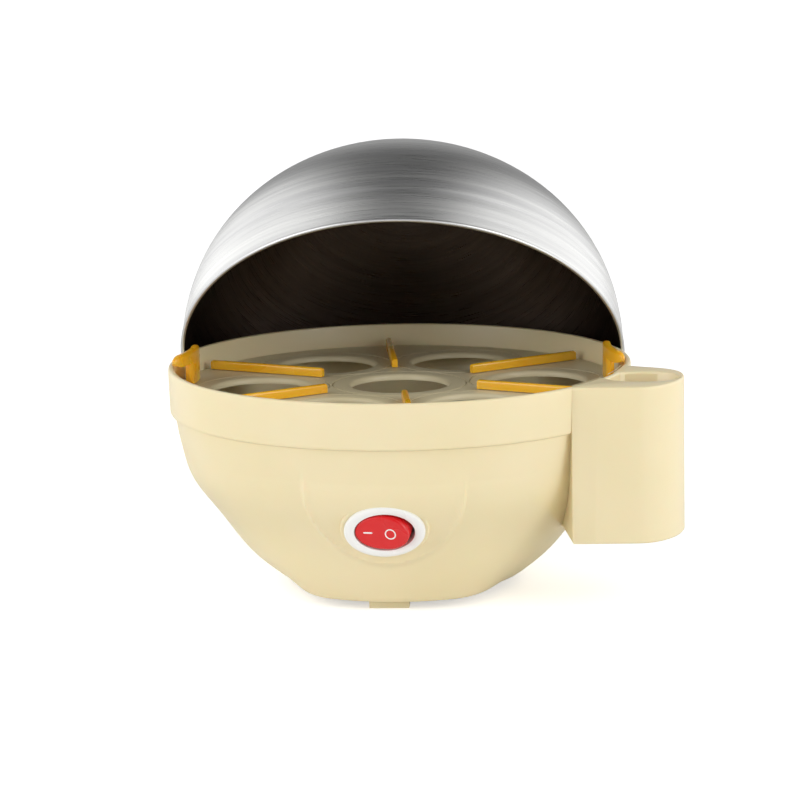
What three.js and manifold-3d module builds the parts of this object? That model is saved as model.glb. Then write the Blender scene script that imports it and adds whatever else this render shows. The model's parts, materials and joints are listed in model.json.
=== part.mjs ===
// Egg cooker for seven eggs: a cream moulded base with a side holder for the
// measuring cup, a lift-out egg tray with two grips, and a loose steel lid
// that is hooked over the back of the base, as it stands while eggs are taken out.
// Millimetres, +Z up. The switch faces -Y and the cup holder points to +X.
import * as THREE from 'three';
import { mergeVertices } from 'three/addons/utils/BufferGeometryUtils.js';
import Module from 'manifold-3d';

const wasm = await Module();
wasm.setup();

// ---- driving dimensions ----
const GAP = 0.3;              // clearance between pieces that touch
const BASE_BOTTOM = 3;        // underside of the base moulding, feet below it
const LIP_HEIGHT = 78.8;      // top of the base's collar
const LIP_RADIUS = 82.5;      // outside of the collar
const LIP_INNER = 80.2;       // inside of the collar
const COLLAR_BOTTOM = 63.2;   // small step where the collar meets the bowl
const LEDGE_HEIGHT = 68.4;    // ledge that carries the tray
const LEDGE_INNER = 74.5;
const SHELF_HEIGHT = 52;      // shelf that carries the heating plate
const SHELF_INNER = 56;
const SHELF_THICK = 2.2;
const OPENING_RADIUS = 38.8;  // round opening in the underside
const APRON_SPREAD = 10;      // how far the front stands out at the bottom
const APRON_FADE = 12;        // height over which the front apron fades
const APRON_MIDDLE = -2.4;    // degrees that apron and switch sit to the left of the front
const APRON_EDGES = [24, 62]; // degrees from its middle where the apron starts and ends fading
const ROUND_SEGMENTS = 60;

const HOLDER_BOTTOM = 24;     // underside of the cup holder
const HOLDER_WALL = 2.4;
const HOLDER_EDGE = 61;       // corner where the front wall leaves the collar
const CUP_CENTRE = [85.5, -34.5];
const CUP_HALF = [13, 9.5];   // half width and half depth of the cup well
const CUP_FLOOR = 40;

const PLATE_RADIUS = 66;      // heating plate's flange
const DISH_RADIUS = 54;
const DISH_FLOOR = 49.2;
const PLATE_THICK = 1.2;
const PLATE_FLANGE = 55.1;
const ELEMENT_RADIUS = 34;
const ELEMENT_TUBE = 3.3;
const ELEMENT_HEIGHT = 44.2;

const TRAY_TOP = 70.8;        // floor of the egg tray
const TRAY_THICK = 2;
const TRAY_RADIUS = 79.6;
const SEAT_COUNT = 6;         // seats round the middle one
const SEAT_PITCH = 49;
const SEAT_RADIUS = 17.5;
const SEAT_SEGMENTS = 24;
const SEAT_GROOVE = 24;       // ring groove round each seat
const SEAT_TURN = 5.3;        // degrees that the seats are turned from the switch
const FIN_INNER = 31;
const FIN_OUTER = 77;
const FIN_TOP = 74.3;
const FIN_THICK = 2.2;
const GRIP_BOW = 60;          // radius of a grip in plan, bowed towards the eggs
const GRIP_INNER = 72.6;      // the grip's nearest point to the axis
const GRIP_NEAREST = 12;      // how far behind the middle that point lies
const GRIP_REACH = [26, 5];   // how far the bar runs forward and back from there
const POST_REACH = [14, 3];   // the same for the post below it
const GRIP_THICK = 3;
const GRIP_TOP = 83.4;

const LID_RADIUS = 80.6;
const LID_DOME = 76;
const LID_WALL = 0.8;
const LID_POWER = 2.16;       // fullness of the dome's curve
const LID_CENTRE = [0, 30, 75.8];
const LID_TILT = 46;          // degrees that the lid is tipped back
const LID_STEPS = 12;
const KNOB_HOLE = 2.4;
const KNOB_RADIUS = 11.5;
const KNOB_HEIGHT = 12.4;

const SWITCH_CENTRE = [-3, -73.4, 33.6];
const SWITCH_LEAN = 16;       // degrees that the switch looks downwards
const BEZEL_HALF = [13.9, 9.6];
const BEZEL_OPENING = [10.3, 6.9];
const BEZEL_SLEEVE = [11.3, 7.9];
const ROCKER_HALF = [9.4, 6.3];
const ROCKER_SWEEP = 10;     // radius that the rocker's ends follow about its pivot
const ROCKER_THROW = 10;      // degrees each side of level
const ROCKER_PIVOT = -2;      // pivot's depth behind the bezel's back

const GLAND_PLACE = [0, 58, 20];
const FOOT_HEIGHT = BASE_BOTTOM - GAP;
const SCREW_PLACES = [[-30, 8], [30, 8], [0, -26]];

// ---- materials ----
const finish = (color, roughness, metalness = 0) =>
  new THREE.MeshStandardMaterial({ color, roughness, metalness });
const cream = finish(0xece0b8, 0.35);
const amber = finish(0xf2a818, 0.3);
const trayGrey = finish(0xcfc3a4, 0.4);
const steel = finish(0xb8b8b8, 0.32, 1);
const sheetSteel = finish(0xc6c6c4, 0.4, 1);
const black = finish(0x1b1b1b, 0.5);
const white = finish(0xf4f4f2, 0.35);
const red = finish(0xd81e1e, 0.3);
const rubber = finish(0x3a3a38, 0.8);
const heatWire = finish(0x7c5a3c, 0.6);
const insulation = finish(0x9a2f22, 0.6);

// ---- helpers ----
const degrees = (angle) => THREE.MathUtils.degToRad(angle);

function solid(geometry, matrix) {
  const bare = geometry.clone();
  bare.deleteAttribute('normal');
  bare.deleteAttribute('uv');
  if (matrix) bare.applyMatrix4(matrix);
  const merged = mergeVertices(bare, 1e-4);
  return new wasm.Manifold(new wasm.Mesh({
    numProp: 3,
    vertProperties: new Float32Array(merged.attributes.position.array),
    triVerts: new Uint32Array(merged.index.array),
  }));
}

function surface(manifold) {
  const mesh = manifold.getMesh();
  const geometry = new THREE.BufferGeometry();
  geometry.setAttribute('position', new THREE.BufferAttribute(mesh.vertProperties, 3));
  geometry.setIndex(new THREE.BufferAttribute(mesh.triVerts, 1));
  return geometry;
}

function piece(name, geometry, material, group) {
  const mesh = new THREE.Mesh(geometry, material);
  mesh.name = name;
  group.add(mesh);
  return mesh;
}

// A profile of [radius, height] points turned round Z. A profile that doesn't
// reach the axis closes on itself.
function turned(points, segments = ROUND_SEGMENTS) {
  const outline = points.map(([r, z]) => new THREE.Vector2(r, z));
  const first = outline[0];
  const last = outline[outline.length - 1];
  if (first.x > 0 || last.x > 0) outline.push(first.clone());
  return new THREE.LatheGeometry(outline, segments).rotateX(Math.PI / 2);
}

function extruded(shape, bottom, top, curveSegments = 16) {
  const geometry = new THREE.ExtrudeGeometry(shape, {
    depth: top - bottom, bevelEnabled: false, curveSegments,
  });
  return geometry.translate(0, 0, bottom);
}

function oval(halfWidth, halfDepth, [x, y] = [0, 0]) {
  return new THREE.Shape().absellipse(x, y, halfWidth, halfDepth, 0, Math.PI * 2);
}

function disc(radius, bottom, top, [x, y] = [0, 0], segments = 32) {
  const geometry = new THREE.CylinderGeometry(radius, radius, top - bottom, segments);
  return geometry.rotateX(Math.PI / 2).translate(x, y, (top + bottom) / 2);
}

function block(width, depth, height, x, y, z) {
  return new THREE.BoxGeometry(width, depth, height).translate(x, y, z);
}

// ---- base moulding ----
const BOWL_OUTSIDE = [
  [41.5, BASE_BOTTOM], [46, 5.6], [52.5, 11], [58, 17], [65.3, 27], [74.8, 40],
  [78.5, 52], [80.4, 62.4], [82.06, COLLAR_BOTTOM], [LIP_RADIUS, 78], [82.1, LIP_HEIGHT],
];
const BOWL_INSIDE = [
  [80.5, LIP_HEIGHT], [LIP_INNER, LEDGE_HEIGHT], [LEDGE_INNER, LEDGE_HEIGHT], [73.4, 60],
  [72, SHELF_HEIGHT], [SHELF_INNER, SHELF_HEIGHT], [SHELF_INNER, SHELF_HEIGHT - SHELF_THICK],
  [74.6, SHELF_HEIGHT - SHELF_THICK], [72, 40], [62.7, 27.6], [55.6, 18.2], [43.8, 7.6],
  [OPENING_RADIUS, 5.2], [OPENING_RADIUS, BASE_BOTTOM],
];

// The front of the bowl stands out in an apron that is widest at the bottom.
function spreadApron(geometry) {
  const place = geometry.attributes.position;
  for (let i = 0; i < place.count; i += 1) {
    const x = place.getX(i);
    const y = place.getY(i);
    const z = place.getZ(i);
    const radius = Math.hypot(x, y);
    if (radius > OPENING_RADIUS + 0.1 && z < SHELF_HEIGHT - SHELF_THICK - 1) {
      const away = Math.abs(THREE.MathUtils.radToDeg(Math.atan2(x, -y)) - APRON_MIDDLE);
      const front = 1 - THREE.MathUtils.smoothstep(away, ...APRON_EDGES);
      const spread = APRON_SPREAD * front * Math.exp((BASE_BOTTOM - z) / APRON_FADE);
      place.setX(i, x * (1 + spread / radius));
      place.setY(i, y * (1 + spread / radius));
    }
  }
  return geometry;
}

// The cup holder's outline in plan, moved in by an inset all round.
function holderOutline(inset) {
  const shape = new THREE.Shape();
  shape.moveTo(HOLDER_EDGE + inset, -55.6 + inset);
  shape.lineTo(83, -55.6 + inset);
  shape.bezierCurveTo(93, -55.6 + inset, 100.5 - inset, -42, 100.3 - inset, -31);
  shape.bezierCurveTo(100.2 - inset, -22.5, 96 - inset, -18.6 - inset, 88, -15.6 - inset);
  shape.lineTo(70, -8 - inset);
  shape.lineTo(55, -8 - inset);
  shape.closePath();
  return shape;
}

const switchPlace = new THREE.Matrix4()
  .makeTranslation(...SWITCH_CENTRE)
  .multiply(new THREE.Matrix4().makeRotationX(degrees(90 + SWITCH_LEAN)));

const glandPlace = new THREE.Matrix4()
  .makeTranslation(...GLAND_PLACE)
  .multiply(new THREE.Matrix4().makeRotationX(-Math.PI / 2));

function makeBaseShell() {
  const bowl = solid(spreadApron(turned([...BOWL_OUTSIDE, ...BOWL_INSIDE])));
  const outside = BOWL_OUTSIDE.map(([r, z]) => [r - 1, z]);
  const core = solid(turned([[0, BASE_BOTTOM], ...outside, [0, LIP_HEIGHT]]));
  const filled = solid(turned([[0, 0], ...BOWL_OUTSIDE, [0, LIP_HEIGHT]]));
  const [halfWidth, halfDepth] = CUP_HALF;
  const wellWall = solid(extruded(
    oval(halfWidth + HOLDER_WALL, halfDepth + HOLDER_WALL, CUP_CENTRE),
    CUP_FLOOR - HOLDER_WALL, LIP_HEIGHT,
  ));
  const well = solid(extruded(oval(halfWidth, halfDepth, CUP_CENTRE), CUP_FLOOR, LIP_HEIGHT + 5));
  const hollow = solid(extruded(
    holderOutline(HOLDER_WALL), HOLDER_BOTTOM - 5, LIP_HEIGHT - HOLDER_WALL,
  )).subtract(wellWall).subtract(filled);
  const holder = solid(extruded(holderOutline(0), HOLDER_BOTTOM, LIP_HEIGHT))
    .subtract(hollow).subtract(core).subtract(well);
  const boss = solid(extruded(oval(BEZEL_HALF[0] + 1.4, BEZEL_HALF[1] + 1.4), -11, 0), switchPlace);
  const bossHole = solid(
    extruded(oval(BEZEL_SLEEVE[0] + 0.4, BEZEL_SLEEVE[1] + 0.4), -30, 5), switchPlace,
  );
  const glandHole = solid(disc(5, -10, 14), glandPlace);
  const shell = bowl.add(holder).add(boss).subtract(bossHole).subtract(glandHole);
  return surface(shell);
}

// ---- lid ----
function domeProfile(radius, height) {
  const points = [];
  for (let i = 0; i <= LID_STEPS; i += 1) {
    const rise = Math.sin((i / LID_STEPS) * (Math.PI / 2) * 0.985);
    points.push([radius * Math.sqrt(1 - rise ** LID_POWER), height * rise]);
  }
  return points;
}

function makeLidShell() {
  const outside = domeProfile(LID_RADIUS, LID_DOME).filter(([r]) => r > KNOB_HOLE + 2);
  const inside = domeProfile(LID_RADIUS - LID_WALL, LID_DOME - LID_WALL)
    .filter(([r]) => r > KNOB_HOLE + 2).reverse();
  const crown = [[KNOB_HOLE, LID_DOME], [KNOB_HOLE, LID_DOME - LID_WALL]];
  const rolledEdge = [[LID_RADIUS - 1.1, -1.1], [LID_RADIUS + 0.4, -1.1], [LID_RADIUS + 0.5, 0]];
  const dome = solid(turned([...rolledEdge, ...outside.slice(1), ...crown, ...inside]));
  const vent = solid(disc(1.6, LID_DOME - 12, LID_DOME + 5, [0, -24], 16));
  return surface(dome.subtract(vent));
}

// ---- tray ----
function seatCentres() {
  const centres = [[0, 0]];
  for (let i = 0; i < SEAT_COUNT; i += 1) {
    const angle = degrees(SEAT_TURN + (i * 360) / SEAT_COUNT);
    centres.push([SEAT_PITCH * Math.cos(angle), SEAT_PITCH * Math.sin(angle)]);
  }
  return centres;
}

function makeTray() {
  const bottom = TRAY_TOP - TRAY_THICK;
  let tray = solid(turned([[0, bottom], [TRAY_RADIUS, bottom], [TRAY_RADIUS, TRAY_TOP], [0, TRAY_TOP]]));
  for (const [x, y] of seatCentres()) {
    const groove = turned([
      [SEAT_GROOVE - 0.5, TRAY_TOP - 0.6], [SEAT_GROOVE + 0.3, TRAY_TOP - 0.6],
      [SEAT_GROOVE + 0.3, TRAY_TOP + 1], [SEAT_GROOVE - 0.5, TRAY_TOP + 1],
    ], SEAT_SEGMENTS).translate(x, y, 0);
    tray = tray.subtract(solid(disc(SEAT_RADIUS, bottom - 1, TRAY_TOP + 1, [x, y], SEAT_SEGMENTS)));
    tray = tray.subtract(solid(groove));
  }
  return surface(tray);
}

// A band bowed in plan, as one arc of constant width, at the right of the tray.
function bowedBand([forward, rearward], bottom, top) {
  const centre = GRIP_INNER + GRIP_BOW;
  const front = Math.PI + Math.asin(forward / GRIP_BOW);
  const rear = Math.PI - Math.asin(rearward / GRIP_BOW);
  const shape = new THREE.Shape();
  shape.absarc(centre, GRIP_NEAREST, GRIP_BOW, rear, front, false);
  shape.absarc(centre, GRIP_NEAREST, GRIP_BOW - GRIP_THICK, front, rear, true);
  shape.closePath();
  return extruded(shape, bottom, top, 6);
}

function makeGrip(side) {
  const bar = solid(bowedBand(GRIP_REACH, LIP_HEIGHT + GAP, GRIP_TOP));
  const post = solid(bowedBand(POST_REACH, TRAY_TOP + GAP, LIP_HEIGHT + 2));
  const grip = bar.add(post);
  return surface(side > 0 ? grip : grip.mirror([1, 0, 0]));
}

// ---- assembly ----
function addBase(group) {
  piece('base_shell', makeBaseShell(), cream, group);
  const under = PLATE_FLANGE - PLATE_THICK;
  piece('heating_plate', turned([
    [0, DISH_FLOOR - PLATE_THICK], [DISH_RADIUS - 5, DISH_FLOOR - PLATE_THICK],
    [DISH_RADIUS, under], [PLATE_RADIUS, under], [PLATE_RADIUS, PLATE_FLANGE],
    [DISH_RADIUS - 0.6, PLATE_FLANGE], [DISH_RADIUS - 5.6, DISH_FLOOR], [0, DISH_FLOOR],
  ]), sheetSteel, group);
  piece('plate_seal', turned([
    [59, SHELF_HEIGHT + GAP], [65, SHELF_HEIGHT + GAP], [65, under - GAP], [59, under - GAP],
  ], 48), rubber, group);
  const ring = new THREE.TorusGeometry(ELEMENT_RADIUS, ELEMENT_TUBE, 8, 28);
  piece('heating_element', ring.translate(0, 0, ELEMENT_HEIGHT), heatWire, group);
  const clampTop = ELEMENT_HEIGHT - ELEMENT_TUBE - GAP;
  piece('element_clamp', turned([
    [12, clampTop - 1.5], [40, clampTop - 1.5], [40, clampTop], [12, clampTop],
  ], 36), sheetSteel, group);
  piece('thermostat', disc(8, 39, 47.6, [0, 0], 24), black, group);
  const fuse = new THREE.CylinderGeometry(2, 2, 18, 12).rotateZ(Math.PI / 2);
  piece('thermal_fuse', fuse.translate(0, 18, 45), white, group);
  piece('terminal_block', block(24, 12, 10, -14, 20, 10.4), white, group);
  addLeads(group);
}

// Each lead is an insulated wire on one smooth curve between two terminals.
function addLeads(group) {
  const routes = {
    lead_supply: [[-6, 13.2, 12], [2, 4, 14], [4, -16, 20], [2, -30, 26], [0, -38, 28]],
    lead_element: [[-26.8, 20, 12], [-32, 16, 18], [-34, 6, 26], [-33.5, 0, 34], [-34, 0, 36.6]],
    lead_return: [[26, 20, 38.2], [32, 12, 30], [30, -12, 24], [16, -32, 27], [6, -38, 30]],
  };
  for (const [name, points] of Object.entries(routes)) {
    const curve = new THREE.CatmullRomCurve3(points.map((point) => new THREE.Vector3(...point)));
    const section = new THREE.Shape().absarc(0, 0, 1.2, 0, Math.PI * 2);
    piece(name, new THREE.ExtrudeGeometry(section, {
      steps: 16, extrudePath: curve, curveSegments: 4,
    }), insulation, group);
  }
}

function addUnderside(group) {
  let cover = solid(disc(OPENING_RADIUS - 0.4, BASE_BOTTOM, BASE_BOTTOM + 2, [0, 0], 48));
  for (const place of SCREW_PLACES) {
    cover = cover.subtract(solid(disc(1.9, 0, 10, place, 16)));
  }
  piece('bottom_cover', surface(cover), cream, group);
  SCREW_PLACES.forEach(([x, y], index) => {
    const screw = turned([[0, 1.3], [3.2, 1.3], [3.2, 2.7], [1.5, 2.7], [1.5, 13], [0, 13.6]], 16);
    piece(`cover_screw_${index + 1}`, screw.translate(x, y, 0), sheetSteel, group);
  });
  piece('foot_front', block(14, 7, FOOT_HEIGHT, -3, -44.5, FOOT_HEIGHT / 2), cream, group);
  piece('foot_rear_left', disc(5, 0, FOOT_HEIGHT, [-22, 26], 24), cream, group);
  piece('foot_rear_right', disc(5, 0, FOOT_HEIGHT, [22, 26], 24), cream, group);
  const gland = turned([
    [3.3, -6], [4.7, -6], [4.7, 8.5], [7, 8.5], [6.2, 13], [4.6, 19], [3.3, 19],
  ], 24);
  piece('cord_gland', gland.applyMatrix4(glandPlace), rubber, group);
}

function addSwitch(group) {
  const local = new THREE.Group();
  local.position.set(...SWITCH_CENTRE);
  local.rotation.x = degrees(90 + SWITCH_LEAN);
  const [flangeX, flangeY] = BEZEL_HALF;
  const flange = solid(extruded(oval(flangeX, flangeY), GAP, 2.2));
  const sleeve = solid(extruded(oval(...BEZEL_SLEEVE), -9, 1.5));
  const mouth = solid(extruded(oval(...BEZEL_OPENING), -20, 5));
  piece('switch_bezel', surface(flange.add(sleeve).subtract(mouth)), white, local);
  piece('switch_body', extruded(oval(BEZEL_SLEEVE[0], BEZEL_SLEEVE[1]), -24, -9 - GAP), black, local);
  const cap = solid(extruded(oval(...ROCKER_HALF), -2, 6.2));
  const keep = solid(new THREE.CylinderGeometry(ROCKER_SWEEP, ROCKER_SWEEP, 30, 64));
  const rocker = piece('rocker', surface(cap.intersect(keep)), red, local);
  rocker.position.z = ROCKER_PIVOT;
  rocker.rotation.y = degrees(-ROCKER_THROW);
  group.add(local);
}

function addTray(group) {
  piece('egg_tray', makeTray(), trayGrey, group);
  for (let i = 0; i < SEAT_COUNT; i += 1) {
    const length = FIN_OUTER - FIN_INNER;
    const low = TRAY_TOP + GAP;
    const fin = block(length, FIN_THICK, FIN_TOP - low, FIN_INNER + length / 2, 0, (FIN_TOP + low) / 2);
    const angle = SEAT_TURN + ((i + 0.5) * 360) / SEAT_COUNT;
    piece(`tray_fin_${i + 1}`, fin.rotateZ(degrees(angle)), amber, group);
  }
  piece('tray_grip_right', makeGrip(1), amber, group);
  piece('tray_grip_left', makeGrip(-1), amber, group);
}

function addLid(group) {
  const lid = new THREE.Group();
  lid.position.set(...LID_CENTRE);
  lid.rotation.x = degrees(-LID_TILT);
  piece('lid_shell', makeLidShell(), steel, lid);
  const seat = LID_DOME + GAP;
  piece('knob_washer', turned([[KNOB_HOLE, seat], [9, seat], [9, seat + 1.5], [KNOB_HOLE, seat + 1.5]], 32),
    rubber, lid);
  const foot = seat + 1.5 + GAP;
  piece('lid_knob', turned([
    [1.9, foot], [7.4, foot], [7.4, foot + 2], [9.2, foot + 4.6], [KNOB_RADIUS, foot + 6.6],
    [KNOB_RADIUS, foot + 8.6], [9.4, foot + 11.2], [5, foot + KNOB_HEIGHT], [0, foot + KNOB_HEIGHT],
    [0, foot + 8], [1.9, foot + 8],
  ], 28), black, lid);
  const head = LID_DOME - LID_WALL - GAP;
  piece('knob_screw', turned([
    [0, head - 2], [4, head - 1.6], [4, head], [1.6, head], [1.6, foot + 7], [0, foot + 7.6],
  ], 20), sheetSteel, lid);
  group.add(lid);
}

const cooker = new THREE.Group();
addBase(cooker);
addUnderside(cooker);
addSwitch(cooker);
addTray(cooker);
addLid(cooker);

// The row's origin is the middle of the whole object's box, on the table.
const box = new THREE.Box3().setFromObject(cooker, true);
const middle = box.getCenter(new THREE.Vector3());
cooker.position.set(-middle.x, -middle.y, -box.min.z);
const part = new THREE.Group();
part.add(cooker);
part.updateMatrixWorld(true);

export default part;
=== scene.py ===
"""Looks for the egg cooker: moulded base with cup holder, egg tray, rocker switch and brushed steel lid.

Shapes are worked out in millimetres about the bowl's own axis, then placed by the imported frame.
"""
import json
import math

import bmesh
import bpy
import numpy as np
from mathutils import Matrix, Vector


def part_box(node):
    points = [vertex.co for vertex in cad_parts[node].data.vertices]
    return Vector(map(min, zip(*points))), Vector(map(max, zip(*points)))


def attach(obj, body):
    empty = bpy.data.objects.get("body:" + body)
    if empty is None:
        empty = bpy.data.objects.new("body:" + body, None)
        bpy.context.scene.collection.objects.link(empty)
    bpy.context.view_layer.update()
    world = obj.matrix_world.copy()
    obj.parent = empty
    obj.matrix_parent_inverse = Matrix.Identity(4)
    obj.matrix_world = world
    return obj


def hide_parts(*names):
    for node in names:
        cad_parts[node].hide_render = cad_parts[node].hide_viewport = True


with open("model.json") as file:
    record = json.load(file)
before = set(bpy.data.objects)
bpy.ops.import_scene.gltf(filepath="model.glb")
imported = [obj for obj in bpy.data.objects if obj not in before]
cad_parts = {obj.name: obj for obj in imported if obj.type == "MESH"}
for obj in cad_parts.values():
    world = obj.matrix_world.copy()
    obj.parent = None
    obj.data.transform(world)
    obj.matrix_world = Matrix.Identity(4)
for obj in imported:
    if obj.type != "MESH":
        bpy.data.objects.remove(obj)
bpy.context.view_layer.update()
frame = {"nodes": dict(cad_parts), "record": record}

MM = 0.001
TAU = 2 * math.pi

# ---- places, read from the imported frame, in millimetres ----
tray_low, tray_high = (np.array(corner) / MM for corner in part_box("egg_tray"))
AXIS = np.array([(tray_low[0] + tray_high[0]) / 2, (tray_low[1] + tray_high[1]) / 2, 0.0])
TRAY_TOP = tray_high[2]
TRAY_RADIUS = (tray_high[0] - tray_low[0]) / 2
shell_low, shell_high = (np.array(corner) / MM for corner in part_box("base_shell"))
BASE_BOTTOM = shell_low[2]
LIP_HEIGHT = shell_high[2]
LIP_RADIUS = AXIS[0] - shell_low[0]

# ---- sizes of the moulding ----
LIP_INNER = 80.2
LEDGE_HEIGHT = 68.4
LEDGE_INNER = 74.5
SHELF_HEIGHT = 52.0
SHELF_UNDER = 49.8
SHELF_INNER = 56.0
OPENING_RADIUS = 38.8
APRON_SPREAD = 10.0
APRON_FADE = 12.0
APRON_MIDDLE = -2.4
APRON_EDGES = (24.0, 62.0)
RELIEF_HALF = 28.0
RELIEF_DROP = 31.0
RELIEF_TOP = 49.4
RELIEF_STEP = 1.3
RELIEF_BEAD = 0.8
HOLDER_BOTTOM = 24.0
HOLDER_WALL = 2.4
CUP_CENTRE = (85.5, -34.5)
CUP_HALF = (13.0, 9.5)
CUP_FLOOR = 40.0
HOLDER_EDGE = 61.0

# ---- sizes of the tray ----
SEAT_COUNT = 6
SEAT_PITCH = 49.0
SEAT_RADIUS = 17.5
SEAT_GROOVE = 24.0
SEAT_TURN = 5.3
FIN_INNER, FIN_OUTER = 31.0, 77.0
FIN_TOP = 74.3
FIN_THICK = 2.2
GRIP_BOW = 60.0
GRIP_INNER = 72.6
GRIP_NEAREST = 12.0
GRIP_REACH = (26.0, 5.0)
POST_REACH = (14.0, 3.0)
GRIP_THICK = 3.0
GRIP_TOP = 83.4

# ---- sizes of the lid and the switch ----
LID_RADIUS = 80.6
LID_DOME = 76.0
LID_WALL = 0.8
LID_POWER = 2.16
LID_CENTRE = (0.0, 30.0, 75.8)
LID_TILT = 46.0
LID_CREASE = 13.0
KNOB_HOLE = 2.4
VENT_PLACE = (0.0, -24.0, 0.0)
SWITCH_CENTRE = (-3.0, -73.4, 33.6)
SWITCH_LEAN = 16.0
BEZEL_HALF = (13.9, 9.6)
BEZEL_OPENING = (10.3, 6.9)
BEZEL_SLEEVE = (11.3, 7.9)
ROCKER_HALF = (9.4, 6.3)
ROCKER_THROW = 10.0
ROCKER_PIVOT = -2.0

# ---- camera ----
CAMERA_DISTANCE = 1337.0
CAMERA_ELEVATION = 10.65
CAMERA_SIDE = 2.3
CAMERA_ROLL = -0.97
CAMERA_AIM = (0.0, 0.0, 64.7)
CAMERA_LENS = 168.2

# ---- surfaces: depth of a mould's grain and of a brushed scratch ----
GRAIN_DEPTH = 0.05
SCRATCH_DEPTH = 0.03

# ---- stage ----
FLOOR_SIZE = 80.0
FLOOR_GLOW = 0.5
WALL_LIGHT = 1.15
FRONT_LIGHT = 0.4
CEILING_LIGHT = 0.07


# ---------------------------------------------------------------- mesh helpers
def sharp_join(*runs):
    """Joins several runs of points end to end into one line."""
    return np.vstack([np.array(run, float) for run in runs])


def smooth_line(points, per=6):
    """A Catmull-Rom curve through the points: each span is the cubic that leaves a point
    along the line between its neighbours."""
    p = np.array(points, float)
    ends = np.vstack([2 * p[0] - p[1], p, 2 * p[-1] - p[-2]])
    t = np.linspace(0, 1, per, endpoint=False)[:, None]
    spans = []
    for i in range(len(p) - 1):
        a, b, c, d = ends[i : i + 4]
        spans.append(
            0.5 * (2 * b + (c - a) * t + (2 * a - 5 * b + 4 * c - d) * t**2 + (3 * b - a - 3 * c + d) * t**3)
        )
    return np.vstack(spans + [p[-1:]])


def matrix_of(place, turn=None):
    """A rigid placement in the bowl's own frame, as a 4 by 4 array."""
    move = Matrix.Translation(Vector(place))
    return np.array(move @ turn if turn is not None else move)


LID_PLACE = matrix_of(LID_CENTRE, Matrix.Rotation(math.radians(-LID_TILT), 4, "X"))
SWITCH_PLACE = matrix_of(SWITCH_CENTRE, Matrix.Rotation(math.radians(90 + SWITCH_LEAN), 4, "X"))
ROCKER_PLACE = SWITCH_PLACE @ matrix_of(
    (0, 0, ROCKER_PIVOT), Matrix.Rotation(math.radians(-ROCKER_THROW), 4, "Y")
)
LEVEL = np.eye(4)


def placed(points, place=LEVEL):
    """Points of the bowl's own frame, in millimetres, carried into the row's frame in metres."""
    flat = points.reshape(-1, 3)
    return (flat @ place[:3, :3].T + place[:3, 3] + AXIS) * MM


def grid_object(name, points, place=LEVEL, closed_rows=True, uv_size=None, smooth_angle=32.0):
    """A surface from a grid of points[row, column]: columns run round and close, and rows run
    along the profile. Rows close on themselves, or else both ends are poles."""
    rows, columns = points.shape[:2]
    index = np.arange(rows * columns).reshape(rows, columns)
    down = index if closed_rows else index[:-1]
    below = np.roll(index, -1, axis=0) if closed_rows else index[1:]
    quads = np.stack([down, np.roll(down, -1, 1), np.roll(below, -1, 1), below], -1).reshape(-1, 4)
    mesh = bpy.data.meshes.new(name)
    mesh.from_pydata(placed(points, place).tolist(), [], quads.tolist())
    if uv_size is not None:
        u = np.broadcast_to(np.arange(columns)[None, :], (rows, columns)).reshape(-1)
        v = np.broadcast_to(uv_size[1][:, None], (rows, columns)).reshape(-1)
        corner = quads.reshape(-1)
        u_corner = u[corner].reshape(-1, 4).astype(float)
        wraps = u_corner.max(1) - u_corner.min(1) > columns / 2
        u_corner[wraps] = np.where(u_corner[wraps] == 0, columns, u_corner[wraps])
        layer = mesh.uv_layers.new(name="surface")
        pairs = np.stack([u_corner.reshape(-1) / columns * uv_size[0], v[corner]], -1)
        layer.data.foreach_set("uv", pairs.reshape(-1))
    return tidy_mesh(name, mesh, smooth_angle)


def tidy_mesh(name, mesh, smooth_angle=32.0):
    """Merges doubles and empty faces, turns the faces outwards and shades it smooth between sharp edges."""
    work = bmesh.new()
    work.from_mesh(mesh)
    bmesh.ops.remove_doubles(work, verts=work.verts, dist=1e-6)
    bmesh.ops.dissolve_degenerate(work, edges=work.edges, dist=1e-7)
    bmesh.ops.recalc_face_normals(work, faces=work.faces)
    work.to_mesh(mesh)
    work.free()
    mesh.polygons.foreach_set("use_smooth", [True] * len(mesh.polygons))
    mesh.set_sharp_from_angle(angle=math.radians(smooth_angle))
    obj = bpy.data.objects.new(name, mesh)
    bpy.context.scene.collection.objects.link(obj)
    return obj


def revolved(name, profile, place=LEVEL, columns=160, centre=(0, 0), with_uv=False, smooth_angle=32.0):
    """A profile of radius and height turned round Z: x = r cos a, y = r sin a. It closes on
    itself unless both ends lie on the axis."""
    line = np.array(profile, float)
    a = np.linspace(0, TAU, columns, endpoint=False)
    points = np.empty((len(line), columns, 3))
    points[..., 0] = line[:, :1] * np.cos(a) + centre[0]
    points[..., 1] = line[:, :1] * np.sin(a) + centre[1]
    points[..., 2] = line[:, 1:2]
    on_axis = line[0, 0] < 1e-9 and line[-1, 0] < 1e-9
    run = np.concatenate([[0], np.cumsum(np.hypot(*np.diff(line, axis=0).T))])
    uv_size = (TAU * LID_RADIUS, run) if with_uv else None
    return grid_object(name, points, place, not on_axis, uv_size, smooth_angle)


def oval_rings(name, half, rows, place=LEVEL, columns=128, smooth_angle=32.0, closed=False):
    """Rings of an oval: row (inset, height) is the oval with both half axes less the inset.
    An inset of None is the middle, so the first and last rows close the ends."""
    a = np.linspace(0, TAU, columns, endpoint=False)
    points = np.zeros((len(rows), columns, 3))
    for i, (inset, height) in enumerate(rows):
        if inset is not None:
            points[i, :, 0] = (half[0] - inset) * np.cos(a)
            points[i, :, 1] = (half[1] - inset) * np.sin(a)
        points[i, :, 2] = height
    return grid_object(name, points, place, closed, None, smooth_angle)


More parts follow.
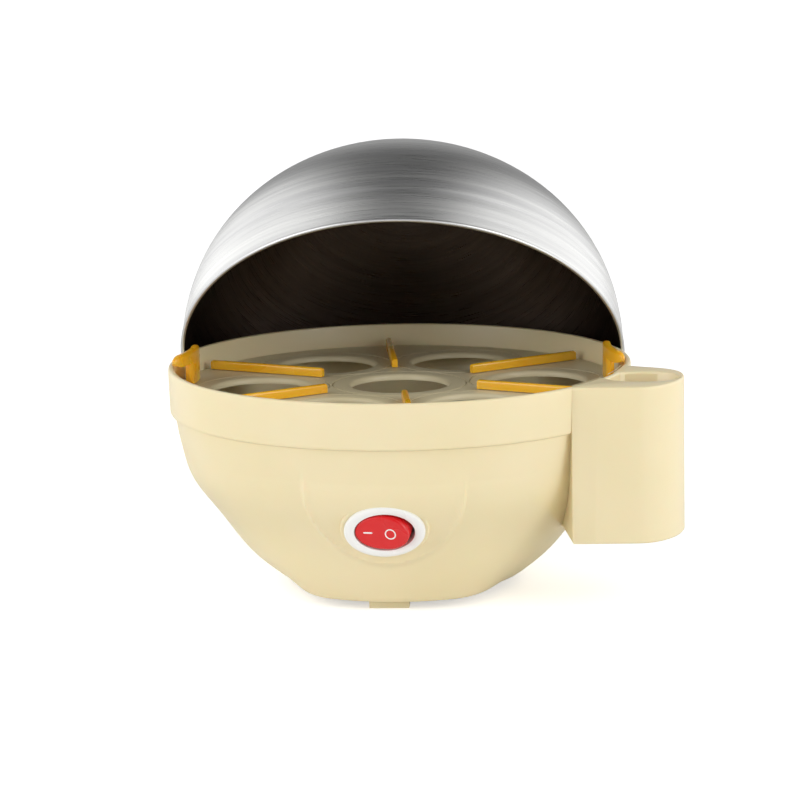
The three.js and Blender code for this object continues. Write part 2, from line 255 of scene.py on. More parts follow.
def boolean(target, tool, operation):
    """Joins or cuts target with tool, which is then removed."""
    modifier = target.modifiers.new("cut", "BOOLEAN")
    modifier.operation = operation
    modifier.solver = "EXACT"
    modifier.object = tool
    depsgraph = bpy.context.evaluated_depsgraph_get()
    mesh = bpy.data.meshes.new_from_object(target.evaluated_get(depsgraph))
    name = target.name
    target.modifiers.clear()
    bpy.data.objects.remove(tool)
    bpy.data.objects.remove(target)
    mesh.name = name
    return tidy_mesh(name, mesh)


def smooth_step(value, low, high):
    """0 below low, 1 above high, and a smooth S between."""
    t = np.clip((value - low) / (high - low), 0, 1)
    return t * t * (3 - 2 * t)


def finish_piece(obj, body, slot, material, *replaced):
    """Gives a piece its material and body, and hides the CAD nodes that it stands for."""
    obj.data.materials.clear()
    obj.data.materials.append(material)
    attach(obj, body)
    if replaced:
        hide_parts(*replaced)
    return obj


# ---------------------------------------------------------------- material helpers
def linear(code):
    """An sRGB hex colour as linear red, green, blue and alpha."""
    parts = np.array([int(code[i : i + 2], 16) / 255 for i in (1, 3, 5)])
    low = parts / 12.92
    high = ((parts + 0.055) / 1.055) ** 2.4
    return (*np.where(parts <= 0.04045, low, high).tolist(), 1.0)


def add_node(tree, kind, settings=None, links=None):
    """Adds a node, sets its properties or inputs by name, and links its inputs to other outputs."""
    new = tree.nodes.new(kind)
    for key, value in (settings or {}).items():
        if key in new.inputs:
            new.inputs[key].default_value = value
        else:
            setattr(new, key, value)
    for key, source in (links or {}).items():
        tree.links.new(source, new.inputs[key])
    return new


def new_material(name, **shader):
    """A material with one Principled shader whose sockets are set by name."""
    material = bpy.data.materials.new(name)
    material.use_nodes = True
    tree = material.node_tree
    principled = tree.nodes["Principled BSDF"]
    for key, value in shader.items():
        principled.inputs[key.replace("_", " ")].default_value = value
    return material, tree, principled


def object_coordinates(tree):
    return add_node(tree, "ShaderNodeTexCoord").outputs["Object"]


def add_grain(tree, principled, vector, size_mm, strength, detail=3.0):
    """Fine bump of a moulded or spun surface, with its grain at size_mm."""
    noise = add_node(
        tree, "ShaderNodeTexNoise", {"Scale": 1 / (size_mm * MM), "Detail": detail}, {"Vector": vector}
    )
    bump = add_node(
        tree, "ShaderNodeBump", {"Strength": strength, "Distance": GRAIN_DEPTH * MM},
        {"Height": noise.outputs["Fac"]},
    )
    tree.links.new(bump.outputs["Normal"], principled.inputs["Normal"])


def vary_between(tree, principled, socket, vector, size_mm, first, second, low=0.35, high=0.65):
    """Slow change of a colour or roughness between two values, over patches of size_mm."""
    noise = add_node(
        tree, "ShaderNodeTexNoise", {"Scale": 1 / (size_mm * MM), "Detail": 2.0}, {"Vector": vector}
    )
    ramp = add_node(tree, "ShaderNodeValToRGB", None, {"Fac": noise.outputs["Fac"]})
    ramp.color_ramp.elements[0].position = low
    ramp.color_ramp.elements[1].position = high
    ramp.color_ramp.elements[0].color = first
    ramp.color_ramp.elements[1].color = second
    tree.links.new(ramp.outputs["Color"], principled.inputs[socket])


def moulded_plastic(name, code, second_code, roughness, grain_mm=0.6, bump=0.08, **more):
    """Injection-moulded plastic: an even colour with a faint drift, a soft gloss that varies a
    little with the polish of the mould, and a very fine spark-eroded grain."""
    material, tree, principled = new_material(name, IOR=1.5, **more)
    where = object_coordinates(tree)
    vary_between(tree, principled, "Base Color", where, 40, linear(code), linear(second_code))
    gloss = (roughness - 0.04,) * 3 + (1.0,), (roughness + 0.05,) * 3 + (1.0,)
    vary_between(tree, principled, "Roughness", where, 18, *gloss)
    add_grain(tree, principled, where, grain_mm, bump)
    return material


def make_cream():
    """Moulded ABS in cream: satin gloss, light gathering slightly in the thin collar."""
    return moulded_plastic(
        "cream_abs", "#f1e2ba", "#eedfb4", 0.36, Subsurface_Weight=0.12,
        Subsurface_Scale=0.004, Coat_Weight=0.15, Coat_Roughness=0.25,
    )


def make_amber():
    """Amber polycarbonate: warm, glossy and a little translucent."""
    return moulded_plastic(
        "amber_polycarbonate", "#f9bf2a", "#f6b41e", 0.26, Subsurface_Weight=0.25,
        Subsurface_Scale=0.003, Coat_Weight=0.3, Coat_Roughness=0.1,
    )


def make_tray_plastic():
    """Moulded tray plastic in warm stone: satin, with a visible fine mould grain."""
    return moulded_plastic("tray_polycarbonate", "#d9cdaa", "#d3c6a0", 0.4, bump=0.12)


def make_brushed_lid(inside_from):
    """Stainless steel spun and then brushed in rings: long scratches run round the dome,
    so highlights stretch across them. Scratches are 0.35 mm apart so that they show. On the inside,
    whose run along the profile is beyond inside_from, the colour is multiplied by a brownish grey: painted
    shade and a painted reflection of the eggs."""
    material, tree, principled = new_material(
        "brushed_stainless", Metallic=1.0, Anisotropic=0.75, Anisotropic_Rotation=0.0
    )
    uv = add_node(tree, "ShaderNodeUVMap", {"uv_map": "surface"}).outputs["UV"]
    stretched = add_node(tree, "ShaderNodeMapping", {"Scale": (0.012, 1.0, 1.0)}, {"Vector": uv})
    along = {"Vector": stretched.outputs["Vector"]}
    fine = add_node(tree, "ShaderNodeTexNoise", {"Scale": 2.9, "Detail": 4.0}, along)
    broad = add_node(tree, "ShaderNodeTexNoise", {"Scale": 0.35, "Detail": 3.0}, along)
    tint = add_node(tree, "ShaderNodeValToRGB", None, {"Fac": broad.outputs["Fac"]})
    tint.color_ramp.elements[0].position = 0.3
    tint.color_ramp.elements[1].position = 0.7
    tint.color_ramp.elements[0].color = linear("#c8c8c8")
    tint.color_ramp.elements[1].color = linear("#e4e4e2")
    height = add_node(tree, "ShaderNodeSeparateXYZ", None, {"Vector": uv}).outputs["Y"]
    inside = add_node(tree, "ShaderNodeMath", {"operation": "GREATER_THAN"})
    tree.links.new(height, inside.inputs[0])
    inside.inputs[1].default_value = inside_from
    # painted shade and reflection: the lid's inside is multiplied by a brownish grey that stands for its
    # shade and the eggs mirrored in it
    inside_painted_shade = add_node(tree, "ShaderNodeMix", {"data_type": "RGBA", "blend_type": "MULTIPLY"})
    tree.links.new(inside.outputs[0], inside_painted_shade.inputs[0])
    tree.links.new(tint.outputs["Color"], inside_painted_shade.inputs[6])
    inside_painted_shade.inputs[7].default_value = linear("#7a6c62")
    tree.links.new(inside_painted_shade.outputs[2], principled.inputs["Base Color"])
    rough = add_node(
        tree, "ShaderNodeMapRange", {"From Min": 0.3, "From Max": 0.7, "To Min": 0.24, "To Max": 0.4},
        {"Value": fine.outputs["Fac"]},
    )
    tree.links.new(rough.outputs["Result"], principled.inputs["Roughness"])
    tangent = add_node(tree, "ShaderNodeTangent", {"direction_type": "UV_MAP", "uv_map": "surface"})
    tree.links.new(tangent.outputs["Tangent"], principled.inputs["Tangent"])
    bump = add_node(
        tree, "ShaderNodeBump", {"Strength": 0.25, "Distance": SCRATCH_DEPTH * MM},
        {"Height": fine.outputs["Fac"]},
    )
    tree.links.new(bump.outputs["Normal"], principled.inputs["Normal"])
    return material


def make_sheet_steel(name="pressed_stainless", code="#bfbfbc", roughness=0.34):
    """Pressed stainless sheet: grey, with a fine rolled grain."""
    material, tree, principled = new_material(name, Metallic=1.0)
    where = object_coordinates(tree)
    stretched = add_node(tree, "ShaderNodeMapping", {"Scale": (0.05, 1.0, 1.0)}, {"Vector": where})
    vary_between(tree, principled, "Base Color", where, 25, linear(code), linear("#a9a8a4"))
    add_grain(tree, principled, stretched.outputs["Vector"], 0.5, 0.2)
    principled.inputs["Roughness"].default_value = roughness
    return material


def make_materials():
    """One material for each slot of the record."""
    return {
        "cream_moulding": make_cream(),
        "amber_moulding": make_amber(),
        "tray_moulding": make_tray_plastic(),
        "brushed_lid": make_brushed_lid(lid_outer_run()),
        "plate_steel": make_sheet_steel(),
        "screw_steel": make_sheet_steel("zinc_plate", "#c9c9c6", 0.3),
        "dark_rubber": moulded_plastic("silicone_rubber", "#2b2b2a", "#343432", 0.65, bump=0.2),
        "element_sheath": moulded_plastic("heat_tinted_sheath", "#6b4b34", "#4d3a33", 0.5, Metallic=0.7),
        "black_moulding": moulded_plastic("black_phenolic", "#161616", "#1d1d1d", 0.34),
        "white_moulding": moulded_plastic("white_nylon", "#f6f6f4", "#f1f1ee", 0.3, Coat_Weight=0.2),
        "red_moulding": moulded_plastic("red_polycarbonate", "#e01018", "#d60c12", 0.3, Coat_Weight=0.25),
        "wire_sleeve": moulded_plastic("glass_silicone_sleeve", "#8f2a1e", "#7c2318", 0.6, bump=0.3),
    }


# ---------------------------------------------------------------- base
def bowl_profile():
    """Radius and height from the underside's opening, up the outside, over the lip and down
    the inside to the opening again."""
    outside = smooth_line(
        [
            (43.0, BASE_BOTTOM + 0.5), (46, 5.6), (52.5, 11), (58, 17), (65.3, 27), (74.8, 40),
            (78.5, 52), (80.4, 62.2),
        ], 9,
    )
    lip = [
        (81.2, 62.55), (81.8, 62.8), (82.06, 63.3), (82.1, 64), (LIP_RADIUS, 77.6),
        (LIP_RADIUS - 0.1, 78.3), (LIP_RADIUS - 0.4, LIP_HEIGHT - 0.15), (LIP_RADIUS - 0.8, LIP_HEIGHT),
        (81.0, LIP_HEIGHT), (80.6, 78.6), (80.5, 78.2),
    ]
    inside = [
        (LIP_INNER, LEDGE_HEIGHT + 0.4), (LIP_INNER - 0.4, LEDGE_HEIGHT), (LEDGE_INNER + 0.4, LEDGE_HEIGHT),
        (LEDGE_INNER, LEDGE_HEIGHT - 0.5), (73.4, 60), (72, SHELF_HEIGHT), (SHELF_INNER, SHELF_HEIGHT),
        (SHELF_INNER, SHELF_UNDER), (74.6, SHELF_UNDER),
    ]
    under = smooth_line([(74.6, SHELF_UNDER), (72.0, 40), (62.7, 27.6), (55.6, 18.2), (43.8, 7.6)], 5)[1:]
    foot = [
        (OPENING_RADIUS, 5.2), (OPENING_RADIUS, BASE_BOTTOM), (41.0, BASE_BOTTOM),
        (42.2, BASE_BOTTOM + 0.15),
    ]
    return sharp_join(outside, lip, inside, under, foot), len(outside) + 4


def make_bowl():
    """The bowl: a turned profile whose front stands out in an apron, widest at the bottom, with
    a raised U-shaped panel, edged by a bead, round the switch. Both are added to the radius: the
    apron fades as exp(-height), and the panel is a step across the lower half of an ellipse."""
    line, outer_count = bowl_profile()
    columns = 400
    a = np.linspace(0, TAU, columns, endpoint=False)
    radius = np.repeat(line[:, :1], columns, 1)
    height = np.repeat(line[:, 1:2], columns, 1)
    away = np.abs((np.degrees(a) + 90 - APRON_MIDDLE + 180) % 360 - 180)[None, :]
    front = 1 - smooth_step(away, *APRON_EDGES)
    low = (height < SHELF_UNDER - 1) & (radius > OPENING_RADIUS + 0.1)
    radius = radius + np.where(low, APRON_SPREAD * front * np.exp((BASE_BOTTOM - height) / APRON_FADE), 0)
    across = radius * np.sin(np.radians(away)) / RELIEF_HALF
    drop = np.clip(RELIEF_TOP - height, 0, None) / RELIEF_DROP
    from_middle = np.hypot(across, drop)
    inside_panel = 1 - smooth_step(from_middle, 0.95, 1.03)
    bead = RELIEF_BEAD * np.exp(-(((from_middle - 0.96) / 0.03) ** 2))
    fade = 1 - smooth_step(height, 42, 58)
    is_outer = np.arange(len(line))[:, None] < outer_count
    radius = radius + np.where(is_outer & (away < 80), (RELIEF_STEP * inside_panel + bead) * fade, 0)
    points = np.stack([radius * np.cos(a), radius * np.sin(a), height], -1)
    return grid_object("base_moulding", points)


def holder_outline(angles, inset):
    """The cup holder's plan as a distance from the cup's centre at each angle: a straight
    front wall, a round nose made of two Bezier curves and a slanting back wall."""
    def bezier(p0, p1, p2, p3):
        t = np.linspace(0, 1, 24)[:, None]
        p0, p1, p2, p3 = (np.array(p, float) for p in (p0, p1, p2, p3))
        return (1 - t) ** 3 * p0 + 3 * t * (1 - t) ** 2 * p1 + 3 * t**2 * (1 - t) * p2 + t**3 * p3

    nose = bezier((83, -55.6), (93, -55.6), (100.5, -42), (100.3, -31))
    back = bezier((100.3, -31), (100.2, -22.5), (96, -18.6), (88, -15.6))
    loop = sharp_join([(HOLDER_EDGE, -55.6)], nose, back[1:], [(70, -8), (55, -8), (HOLDER_EDGE, -55.6)])
    steps = np.diff(loop, axis=0)
    from_centre = loop[:-1] - np.array(CUP_CENTRE)
    ray = np.stack([np.cos(angles), np.sin(angles)], -1)
    cross = ray[:, None, 0] * steps[None, :, 1] - ray[:, None, 1] * steps[None, :, 0]
    cross = np.where(np.abs(cross) < 1e-9, 1e-9, cross)
    along = (from_centre[:, 0] * steps[:, 1] - from_centre[:, 1] * steps[:, 0])[None, :] / cross
    share = (from_centre[None, :, 0] * ray[:, None, 1] - from_centre[None, :, 1] * ray[:, None, 0]) / cross
    hit = (along > 0) & (share >= -1e-6) & (share <= 1 + 1e-6)
    return np.where(hit, along, np.inf).min(1) - inset


def make_holder():
    """The cup holder: rings that follow the plan outline outside and the cup's oval inside."""
    angles = np.linspace(0, TAU, 240, endpoint=False)
    oval = 1 / np.hypot(np.cos(angles) / CUP_HALF[0], np.sin(angles) / CUP_HALF[1])
    rings = [
        (0 * angles, CUP_FLOOR - HOLDER_WALL), (holder_outline(angles, HOLDER_WALL), CUP_FLOOR - HOLDER_WALL),
        (holder_outline(angles, HOLDER_WALL), HOLDER_BOTTOM + 0.2),
        (holder_outline(angles, 0.4), HOLDER_BOTTOM),
        (holder_outline(angles, 0), HOLDER_BOTTOM + 0.5), (holder_outline(angles, 0), LIP_HEIGHT - 1.0),
        (holder_outline(angles, 0.1), LIP_HEIGHT - 0.5), (holder_outline(angles, 0.4), LIP_HEIGHT - 0.15),
        (holder_outline(angles, 0.9), LIP_HEIGHT), (oval + 1.0, LIP_HEIGHT), (oval + 0.4, LIP_HEIGHT - 0.2),
        (oval, LIP_HEIGHT - 0.8), (oval - 0.6, CUP_FLOOR + 1.5), (oval - 2.0, CUP_FLOOR),
        (0 * angles, CUP_FLOOR),
    ]
    points = np.empty((len(rings), len(angles), 3))
    for i, (distance, height) in enumerate(rings):
        points[i, :, 0] = CUP_CENTRE[0] + distance * np.cos(angles)
        points[i, :, 1] = CUP_CENTRE[1] + distance * np.sin(angles)
        points[i, :, 2] = height
    return grid_object("holder", points, closed_rows=False)


def make_base(materials):
    """The whole base moulding: bowl, cup holder and switch boss joined, with the switch hole cut."""
    line, outer_count = bowl_profile()
    inner = line[: outer_count + 6] - np.array([1.2, 0])
    above = [(inner[-1, 0], LIP_HEIGHT + 4), (0, LIP_HEIGHT + 4)]
    core_line = sharp_join([(0, BASE_BOTTOM + 0.5)], inner, above)
    core = revolved("core", core_line, columns=400)
    holder = boolean(make_holder(), core, "DIFFERENCE")
    bowl = boolean(make_bowl(), holder, "UNION")
    boss_half = (BEZEL_HALF[0] + 1.4, BEZEL_HALF[1] + 1.4)
    boss = oval_rings(
        "boss", boss_half,
        [(None, -11), (0, -11), (0, -1.1), (0.15, -0.5), (0.5, -0.12), (1.0, 0), (None, 0)], SWITCH_PLACE,
    )
    bowl = boolean(bowl, boss, "UNION")
    hole_half = (BEZEL_SLEEVE[0] + 0.4, BEZEL_SLEEVE[1] + 0.4)
    hole = oval_rings("hole", hole_half, [(None, -26), (0, -26), (0, 4), (None, 4)], SWITCH_PLACE)
    bowl = boolean(bowl, hole, "DIFFERENCE")
    gland = oval_rings(
        "gland_hole", (5, 5), [(None, -10), (0, -10), (0, 16), (None, 16)],
        matrix_of((0, 58, 20), Matrix.Rotation(math.radians(-90), 4, "X")), columns=48,
    )
    bowl = boolean(bowl, gland, "DIFFERENCE")
    finish_piece(bowl, "base", "cream_moulding", materials["cream_moulding"], "base_shell")


# ---------------------------------------------------------------- switch
def make_switch(materials):
    """Bezel with a crowned flange, and a dished rocker with its two marks."""
    flange = [(0, 0.3), (0, 1.1), (0.25, 1.75), (0.8, 2.1), (1.6, 2.2), (2.8, 2.2), (3.5, 2.0)]
    depth = BEZEL_HALF[0] - BEZEL_OPENING[0]
    rows = flange + [(depth, 1.5), (depth, -9), (BEZEL_HALF[0] - BEZEL_SLEEVE[0], -9)]
    rows.append((BEZEL_HALF[0] - BEZEL_SLEEVE[0], 0.3))
    a = np.linspace(0, TAU, 160, endpoint=False)
    points = np.empty((len(rows), len(a), 3))
    for i, (inset, height) in enumerate(rows):
        share = inset / depth
        narrow = BEZEL_HALF[1] - share * (BEZEL_HALF[1] - BEZEL_OPENING[1])
        points[i] = np.stack([(BEZEL_HALF[0] - inset) * np.cos(a), narrow * np.sin(a), 0 * a + height], -1)
    bezel = grid_object("bezel", points, SWITCH_PLACE)
    finish_piece(bezel, "base", "white_moulding", materials["white_moulding"], "switch_bezel")
    make_rocker(materials)


def rocker_top(x):
    """Height of the rocker's face: a shallow valley along its length."""
    return 4.6 + 0.9 * (np.abs(x) / ROCKER_HALF[0]) ** 1.6


def make_rocker(materials):
    """The rocker: ovals that shrink over a rounded edge, on a face dished along its length."""
    a = np.linspace(0, TAU, 144, endpoint=False)
    insets = [None, 0, 0, 0.12, 0.4, 0.8, 1.3]
    drops = [None, None, -0.75, -0.35, -0.12, -0.03, 0.0]
    rows = []
    for inset, drop in zip(insets, drops):
        if inset is None:
            rows.append(np.stack([0 * a, 0 * a, 0 * a - 2], -1))
            continue
        x = (ROCKER_HALF[0] - inset) * np.cos(a)
        y = (ROCKER_HALF[1] - inset) * np.sin(a)
        rows.append(np.stack([x, y, 0 * a - 2 if drop is None else rocker_top(x) + drop], -1))
    for share in np.linspace(0.95, 0, 16):
        x = (ROCKER_HALF[0] - 1.3) * np.cos(a) * share
        y = (ROCKER_HALF[1] - 1.3) * np.sin(a) * share
        rows.append(np.stack([x, y, rocker_top(x)], -1))
    cap = grid_object("rocker_cap", np.array(rows), ROCKER_PLACE, closed_rows=False, smooth_angle=40)
    finish_piece(cap, "rocker", "red_moulding", materials["red_moulding"], "rocker")
    bar = mark_band("mark_on", np.linspace(-1.7, 1.7, 9), -4.9)
    finish_piece(bar, "rocker", "white_moulding", materials["white_moulding"])
    ring = mark_ring("mark_off", 1.75, 0.22, 2.9)
    finish_piece(ring, "rocker", "white_moulding", materials["white_moulding"])


def mark_band(name, along, centre):
    """A short printed bar: a rounded strip 0.42 mm wide that follows the rocker's face."""
    a = np.linspace(0, TAU, 12, endpoint=False)
    rows = []
    for i, x in enumerate(along):
        width = 0.0 if i in (0, len(along) - 1) else 0.3
        middle = x + centre
        y = width * np.cos(a)
        z = rocker_top(np.array(middle)) + 0.02 + (0.08 if width else 0) * np.sin(a)
        rows.append(np.stack([0 * a + middle, y, z + 0 * a], -1))
    return grid_object(name, np.array(rows), ROCKER_PLACE, closed_rows=False)


def mark_ring(name, radius, thick, centre):
    """A printed ring: a flat torus that follows the rocker's face."""
    a = np.linspace(0, TAU, 64, endpoint=False)[None, :]
    b = np.linspace(0, TAU, 12, endpoint=False)[:, None]
    r = radius + thick * np.cos(b)
    x = centre + r * np.cos(a)
    y = r * np.sin(a)
    z = rocker_top(x) + 0.02 + 0.08 * np.sin(b)
    return grid_object(name, np.stack([x, y, z + 0 * a], -1), ROCKER_PLACE)


# ---------------------------------------------------------------- tray
def seat_centres():
    angles = np.radians(SEAT_TURN + np.arange(SEAT_COUNT) * 360 / SEAT_COUNT)
    return [(0.0, 0.0)] + [(SEAT_PITCH * math.cos(t), SEAT_PITCH * math.sin(t)) for t in angles]


def make_tray(materials):
    """The tray floor: a disc with a seven-hole pattern. Each hole has a softened edge that
    falls away to the egg, and a fine ring groove round it."""
    bottom = TRAY_TOP - 2
    edge = TRAY_RADIUS
    tray = revolved("tray_floor", [
        (0, bottom), (edge - 0.4, bottom), (edge, bottom + 0.3), (edge, TRAY_TOP - 0.3),
        (edge - 0.3, TRAY_TOP), (0, TRAY_TOP),
    ], columns=200)
    for centre in seat_centres():
        cutter = revolved("seat", [
            (0, bottom - 1), (SEAT_RADIUS, bottom - 1), (SEAT_RADIUS, TRAY_TOP - 1.1),
            (SEAT_RADIUS + 0.25, TRAY_TOP - 0.55), (SEAT_RADIUS + 0.7, TRAY_TOP - 0.15),
            (SEAT_RADIUS + 1.4, TRAY_TOP), (SEAT_RADIUS + 1.4, TRAY_TOP + 1), (0, TRAY_TOP + 1),
        ], columns=96, centre=centre)
        tray = boolean(tray, cutter, "DIFFERENCE")
        groove = revolved("groove", [
            (SEAT_GROOVE - 0.45, TRAY_TOP + 0.5), (SEAT_GROOVE - 0.35, TRAY_TOP - 0.5),
            (SEAT_GROOVE + 0.15, TRAY_TOP - 0.5), (SEAT_GROOVE + 0.25, TRAY_TOP + 0.5),
        ], columns=96, centre=centre)
        tray = boolean(tray, groove, "DIFFERENCE")
    finish_piece(tray, "tray", "tray_moulding", materials["tray_moulding"], "egg_tray")
    for number in range(SEAT_COUNT):
        make_fin(number, materials)
    for side, word in ((1, "right"), (-1, "left")):
        make_grip(side, word, materials)


def rounded_section(half_width, low, high, round_by, count=5):
    """A closed section with round top corners, as width and height."""
    t = np.linspace(0, math.pi / 2, count)
    flat = half_width - round_by
    right = np.stack([flat + round_by * np.cos(t), high - round_by + round_by * np.sin(t)], -1)
    left = np.stack([-right[::-1, 0], right[::-1, 1]], -1)
    return sharp_join([(half_width, low)], right, left, [(-half_width, low)])


def make_fin(number, materials):
    """A divider: the round-topped section carried straight along a radius, rounded down at both ends."""
    section = rounded_section(FIN_THICK / 2, TRAY_TOP + 0.3, FIN_TOP, 0.8)
    angle = math.radians(SEAT_TURN + (number + 0.5) * 360 / SEAT_COUNT)
    run = [
        (FIN_INNER, 0.0), (FIN_INNER, 0.9), (FIN_INNER + 0.6, 1.0), (FIN_OUTER - 0.6, 1.0),
        (FIN_OUTER, 0.9), (FIN_OUTER, 0.0),
    ]
    rows = []
    for r, share in run:
        width = section[:, 0] * share
        height = TRAY_TOP + 0.3 + (section[:, 1] - TRAY_TOP - 0.3) * (share if share else 0.0)
        if share == 0.0:
            height = 0 * height + (TRAY_TOP + FIN_TOP) / 2
        x = r * math.cos(angle) - width * math.sin(angle)
        y = r * math.sin(angle) + width * math.cos(angle)
        rows.append(np.stack([x, y, height], -1))
    fin = grid_object(f"fin_{number + 1}", np.array(rows), closed_rows=False)
    finish_piece(fin, "tray", "amber_moulding", materials["amber_moulding"], f"tray_fin_{number + 1}")


def band_along(name, reaches, low, high, side, round_by):
    """A round-topped section carried along the grip's arc, closed to a rounded point at each end."""
    section = rounded_section(GRIP_THICK / 2, low, high, round_by, 6)
    section[:, 0] += GRIP_THICK / 2
    rows = []
    count = 31
    middle_height = (low + high) / 2
    forward, rearward = (math.asin(reach / GRIP_BOW) for reach in reaches)
    for i, t in enumerate(np.linspace(-forward, rearward, count)):
        from_end = min(i, count - 1 - i)
        share = [0.0, 0.5, 0.72, 0.87, 0.96, 1.0][min(from_end, 5)]
        r = GRIP_BOW - (GRIP_THICK / 2 + (section[:, 0] - GRIP_THICK / 2) * share)
        z = middle_height + (section[:, 1] - middle_height) * share
        x = GRIP_INNER + GRIP_BOW - r * math.cos(t)
        y = GRIP_NEAREST + r * math.sin(t)
        rows.append(np.stack([side * x, y, z], -1))
    return grid_object(name, np.array(rows), closed_rows=False)


def make_grip(side, word, materials):
    """A tray grip: the bar above the lip, joined to the shorter post that rises from the tray floor."""
    bar = band_along(f"grip_{word}", GRIP_REACH, LIP_HEIGHT + 0.3, GRIP_TOP, side, 1.2)
    post = band_along("post", POST_REACH, TRAY_TOP + 0.3, LIP_HEIGHT + 2, side, 0.4)
    grip = boolean(bar, post, "UNION")
    finish_piece(grip, "tray", "amber_moulding", materials["amber_moulding"], f"tray_grip_{word}")


# ---------------------------------------------------------------- lid
def dome_line(radius, height, count, crease=0.0):
    """Radius and height up the dome: r = R (1 - (z/h)^2.16)^0.5, with a shallow spun crease."""
    rise = np.sin(np.linspace(0, math.pi / 2 * 0.985, count))
    r = radius * np.sqrt(1 - rise**LID_POWER)
    z = height * rise
    r = r - crease * np.exp(-(((z - LID_CREASE) / 0.9) ** 2))
    return np.stack([r, z], -1)


def lid_line():
    """The lid's closed profile: rolled rim, outside, crown hole and inside."""
    outside = dome_line(LID_RADIUS, LID_DOME, 90, 0.25)
    inside = dome_line(LID_RADIUS - LID_WALL, LID_DOME - LID_WALL, 60)[::-1]
    outside = outside[outside[:, 0] > KNOB_HOLE + 1]
    inside = inside[inside[:, 0] > KNOB_HOLE + 1]
    t = np.linspace(-0.35 * math.pi, 1.35 * math.pi, 14)
    rim = np.stack([LID_RADIUS - 0.35 - 0.75 * np.cos(t), -0.35 - 0.75 * np.sin(t)], -1)
    crown = [(KNOB_HOLE, LID_DOME), (KNOB_HOLE, LID_DOME - LID_WALL)]
    return sharp_join(rim, outside[2:], crown, inside[:-1]), len(rim) + len(outside) - 2


def lid_outer_run():
    """Length of the profile from its start to the crown hole, in millimetres."""
    line, outer_count = lid_line()
    return float(np.hypot(*np.diff(line[: outer_count + 1], axis=0).T).sum())


def make_lid(materials):
    """The lid: a thin spun dome with a rolled rim, a vent and a hole in its crown for the knob's screw."""
    line, _ = lid_line()
    dome = revolved("lid_dome", line, LID_PLACE, 256, with_uv=True, smooth_angle=50)
    vent = oval_rings("vent", (1.6, 1.6), [(None, 64), (0, 64), (0, 82), (None, 82)],
                      LID_PLACE @ matrix_of(VENT_PLACE), columns=32)
    dome = boolean(dome, vent, "DIFFERENCE")
    finish_piece(dome, "lid", "brushed_lid", materials["brushed_lid"], "lid_shell")
    seat = LID_DOME + 2.1
    knob_line = smooth_line([
        (7.4, seat), (7.5, seat + 2), (9.2, seat + 4.6), (11.2, seat + 6.6), (11.5, seat + 8.2),
        (10.2, seat + 10.6), (6.0, seat + 12.0), (3.0, seat + 12.35), (0.0, seat + 12.4),
    ], 6)
    knob = revolved("knob", sharp_join([(0, seat)], [(6.9, seat)], knob_line), LID_PLACE, 128)
    finish_piece(knob, "lid", "black_moulding", materials["black_moulding"], "lid_knob")


# ---------------------------------------------------------------- carried-over nodes
def dress_nodes(materials):
    """The CAD nodes whose shape is right get the material of their slot."""
    slots = {row["node"]: row["material_slot"] for row in frame["record"]["subparts"]}
    for name, obj in frame["nodes"].items():
        obj.data.materials.clear()
        obj.data.materials.append(materials[slots[name]])


# ---------------------------------------------------------------- stage
def make_stage():
    """A pale floor that glows to the camera only, the room's light, and a soft light at each side."""
    bpy.ops.mesh.primitive_plane_add(size=FLOOR_SIZE, location=(0, 0, 0))
    floor = bpy.context.object
    floor.name = "floor"
    material, tree, principled = new_material("pale_floor", Roughness=0.5)
    principled.inputs["Base Color"].default_value = linear("#f4f4f4")
    principled.inputs["Emission Color"].default_value = (1, 1, 1, 1)
    seen = add_node(tree, "ShaderNodeLightPath").outputs["Is Camera Ray"]
    glow = add_node(tree, "ShaderNodeMath", {"operation": "MULTIPLY"})
    tree.links.new(seen, glow.inputs[0])
    glow.inputs[1].default_value = FLOOR_GLOW
    tree.links.new(glow.outputs[0], principled.inputs["Emission Strength"])
    floor.data.materials.append(material)
    world = bpy.data.worlds.new("studio")
    bpy.context.scene.world = world
    world.use_nodes = True
    light_the_room(world.node_tree)
    add_area("key_right", (0.95, -0.75, 0.6), 0.6, 3.4)
    add_area("fill_left", (-0.95, -0.7, 0.55), 0.7, 3.0)


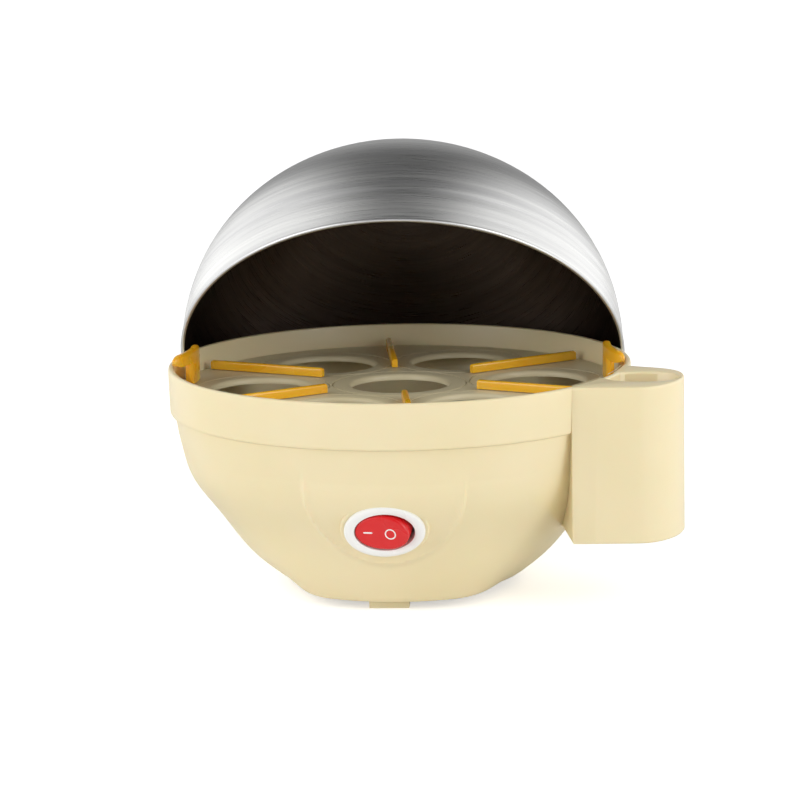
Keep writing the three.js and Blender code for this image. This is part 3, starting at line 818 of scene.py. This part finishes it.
def light_the_room(tree):
    """A room whose light depends on direction: bright walls at both sides, an even front and
    darker ceiling, so brushed metal shows bright wedges beside a dark middle."""
    where = add_node(tree, "ShaderNodeTexCoord").outputs["Generated"]
    split = add_node(tree, "ShaderNodeSeparateXYZ", None, {"Vector": where})
    side = add_node(tree, "ShaderNodeMath", {"operation": "ABSOLUTE"})
    tree.links.new(split.outputs["X"], side.inputs[0])
    walls = add_node(
        tree, "ShaderNodeMapRange",
        {
            "interpolation_type": "SMOOTHSTEP", "From Min": 0.2, "From Max": 0.6,
            "To Min": 0.0, "To Max": WALL_LIGHT,
        },
        {"Value": side.outputs[0]},
    )
    ceiling = add_node(
        tree, "ShaderNodeMapRange",
        {
            "interpolation_type": "SMOOTHSTEP", "From Min": 0.1, "From Max": 0.8,
            "To Min": FRONT_LIGHT, "To Max": CEILING_LIGHT,
        },
        {"Value": split.outputs["Z"]},
    )
    total = add_node(tree, "ShaderNodeMath", {"operation": "ADD"})
    tree.links.new(walls.outputs["Result"], total.inputs[0])
    tree.links.new(ceiling.outputs["Result"], total.inputs[1])
    background = tree.nodes["Background"]
    background.inputs["Color"].default_value = (1, 1, 1, 1)
    tree.links.new(total.outputs[0], background.inputs["Strength"])


def add_area(name, place, size, power):
    """A square soft light that looks at the object's middle."""
    light = bpy.data.lights.new(name, "AREA")
    light.size = size
    light.energy = power
    obj = bpy.data.objects.new(name, light)
    bpy.context.scene.collection.objects.link(obj)
    obj.location = place
    aim = Vector((0, 0, 0.08)) - Vector(place)
    obj.rotation_euler = aim.to_track_quat("-Z", "Y").to_euler()


def make_camera():
    """The camera, far off and long, with the slight roll of the view."""
    side = math.radians(CAMERA_SIDE)
    rise = math.radians(CAMERA_ELEVATION)
    back = np.array([math.sin(side) * math.cos(rise), -math.cos(side) * math.cos(rise), math.sin(rise)])
    right = np.array([math.cos(side), math.sin(side), 0.0])
    up = np.cross(back, right)
    roll = math.radians(CAMERA_ROLL)
    turned_right = right * math.cos(roll) + up * math.sin(roll)
    turned_up = up * math.cos(roll) - right * math.sin(roll)
    place = (np.array(CAMERA_AIM) + back * CAMERA_DISTANCE + AXIS) * MM
    camera = bpy.data.objects.new("camera", bpy.data.cameras.new("camera"))
    bpy.context.scene.collection.objects.link(camera)
    turn = Matrix((turned_right, turned_up, back)).transposed().to_4x4()
    camera.matrix_world = Matrix.Translation(Vector(place)) @ turn
    camera.data.lens = CAMERA_LENS
    camera.data.sensor_width = 36.0
    camera.data.clip_end = 100.0
    bpy.context.scene.camera = camera


make_camera()
make_stage()
finishes = make_materials()
dress_nodes(finishes)
make_base(finishes)
make_switch(finishes)
make_tray(finishes)
make_lid(finishes)
bpy.context.scene.view_settings.view_transform = "Standard"
